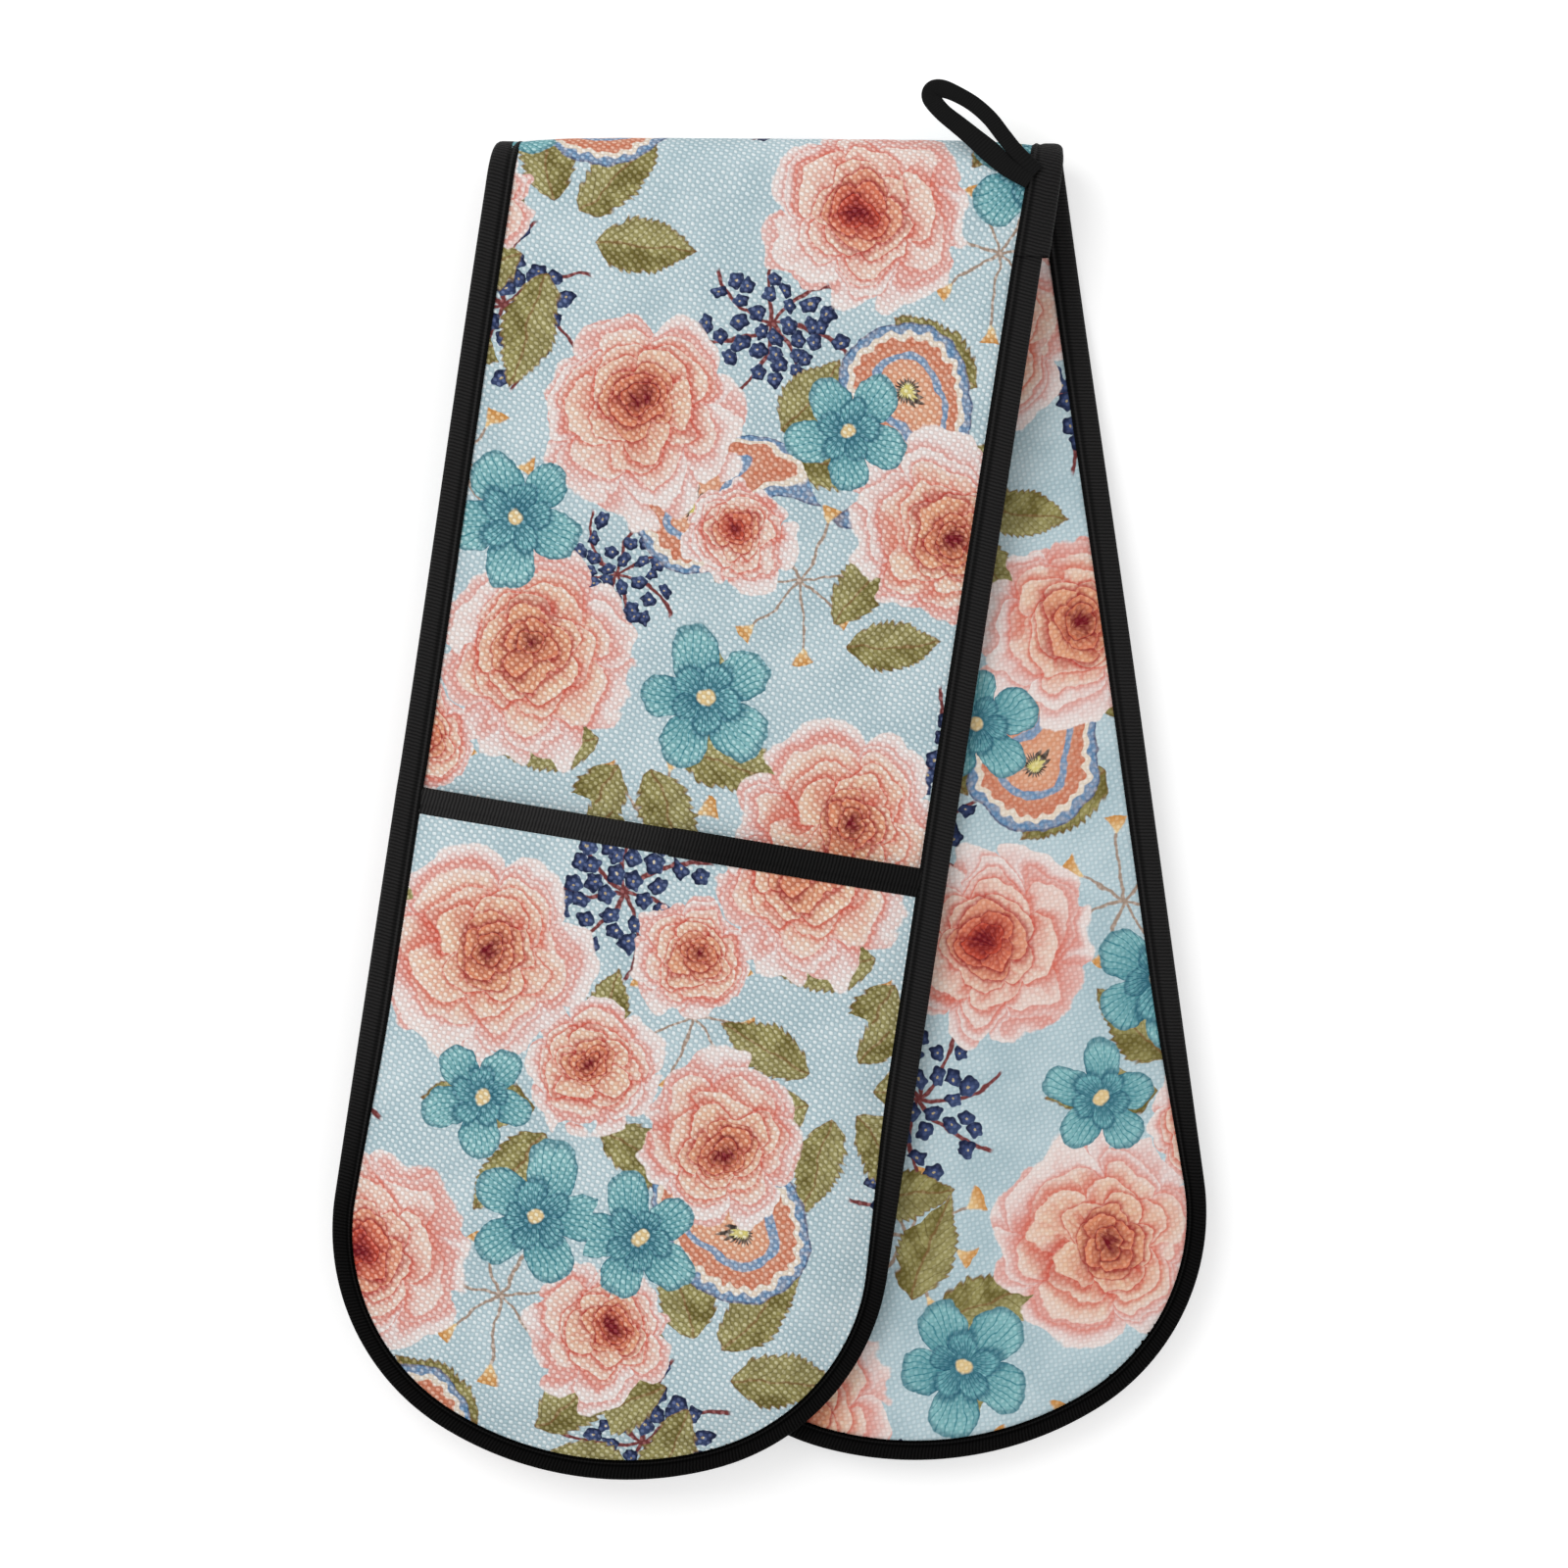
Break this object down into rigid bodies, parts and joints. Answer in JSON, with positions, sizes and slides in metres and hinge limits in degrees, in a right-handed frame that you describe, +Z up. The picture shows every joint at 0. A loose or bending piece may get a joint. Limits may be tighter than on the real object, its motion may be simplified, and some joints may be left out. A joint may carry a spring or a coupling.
{
  "type": "double oven glove",
  "caption": "Padded double oven glove: one bound strip folded obliquely in the middle, with a hand pocket at each end and a hanging loop at the fold.",
  "frame": {"origin": "middle of the base of the bounding box, on the surface that the glove lies on", "axes": "+Z up from the surface, +Y towards the fold and the hanging loop, +X to the right seen from above with the front half on top"},
  "size_m": [0.2892, 0.461, 0.027],
  "materials": {
    "printed_fabric": "plain-weave cotton with an all-over flower print",
    "wadding": "heat-proof felted wadding, hidden between the fabrics",
    "lining": "plain natural cotton inside the pockets",
    "black_tape": "ribbed grosgrain tape, black"
  },
  "bodies": {
    "rear_pocket": {"rear_pocket_lining": "lining", "rear_pocket_wadding": "wadding", "rear_pocket_face": "printed_fabric", "rear_mouth_binding": "black_tape"},
    "rear_half": {"rear_inner_fabric": "printed_fabric", "rear_wadding": "wadding", "rear_outer_fabric": "printed_fabric", "rear_binding_right": "black_tape", "rear_binding_left": "black_tape", "rear_binding_end": "black_tape", "rear_pocket_margin": "printed_fabric"},
    "fold_1": {"fold_1_outer_fabric": "printed_fabric", "fold_1_wadding": "wadding", "fold_1_inner_fabric": "printed_fabric", "fold_1_binding_left": "black_tape", "fold_1_binding_right": "black_tape"},
    "fold_2": {"fold_2_outer_fabric": "printed_fabric", "fold_2_wadding": "wadding", "fold_2_inner_fabric": "printed_fabric", "fold_2_binding_left": "black_tape", "fold_2_binding_right": "black_tape"},
    "fold_3": {"fold_3_outer_fabric": "printed_fabric", "fold_3_wadding": "wadding", "fold_3_inner_fabric": "printed_fabric", "fold_3_binding_left": "black_tape", "fold_3_binding_right": "black_tape"},
    "front_half": {"front_inner_fabric": "printed_fabric", "front_wadding": "wadding", "front_outer_fabric": "printed_fabric", "front_binding_left": "black_tape", "front_binding_right": "black_tape", "front_binding_end": "black_tape", "front_pocket_margin": "printed_fabric", "lapped_end": "black_tape"},
    "front_pocket": {"front_pocket_lining": "lining", "front_pocket_wadding": "wadding", "front_pocket_face": "printed_fabric", "front_mouth_binding": "black_tape"},
    "hanging_loop": {"hanging_loop": "black_tape"}
  },
  "joints": [
    {"name": "rear_mouth", "type": "hinge", "parent": "rear_pocket", "child": "rear_half", "pos_m": [0.06267, -0.21421, 0.0067], "axis": [0.9898, 0.1426, 0], "range_deg": [0, 6]},
    {"name": "fold_hinge_1", "type": "hinge", "parent": "rear_half", "child": "fold_1", "pos_m": [0.00043, 0.19474, 0], "axis": [-1, 0, 0], "range_deg": [0, 23.05]},
    {"name": "fold_hinge_2", "type": "hinge", "parent": "fold_1", "child": "fold_2", "pos_m": [0.00043, 0.20996, 0.00647], "axis": [-1, 0, 0], "range_deg": [0, 66.95]},
    {"name": "fold_hinge_3", "type": "hinge", "parent": "fold_2", "child": "fold_3", "pos_m": [0.00043, 0.20996, 0.01943], "axis": [-1, 0, 0], "range_deg": [0, 66.95]},
    {"name": "fold_hinge_4", "type": "hinge", "parent": "fold_3", "child": "front_half", "pos_m": [0.00043, 0.19474, 0.0259], "axis": [-1, 0, 0], "range_deg": [0, 23.05]},
    {"name": "front_mouth", "type": "hinge", "parent": "front_half", "child": "front_pocket", "pos_m": [-0.06267, -0.22015, 0.0192], "axis": [0.9898, -0.1426, 0], "range_deg": [0, 6]},
    {"name": "loop_swing", "type": "hinge", "parent": "fold_3", "child": "hanging_loop", "pos_m": [0.0818, 0.20189, 0.027], "axis": [0.1426, 0.9898, 0], "range_deg": [0, 150]}
  ],
  "couplings": [
    {"joint": "fold_hinge_1", "follows": "fold_hinge_4", "ratio": 1},
    {"joint": "fold_hinge_2", "follows": "fold_hinge_4", "ratio": 2.904},
    {"joint": "fold_hinge_3", "follows": "fold_hinge_4", "ratio": 2.904}
  ]
}
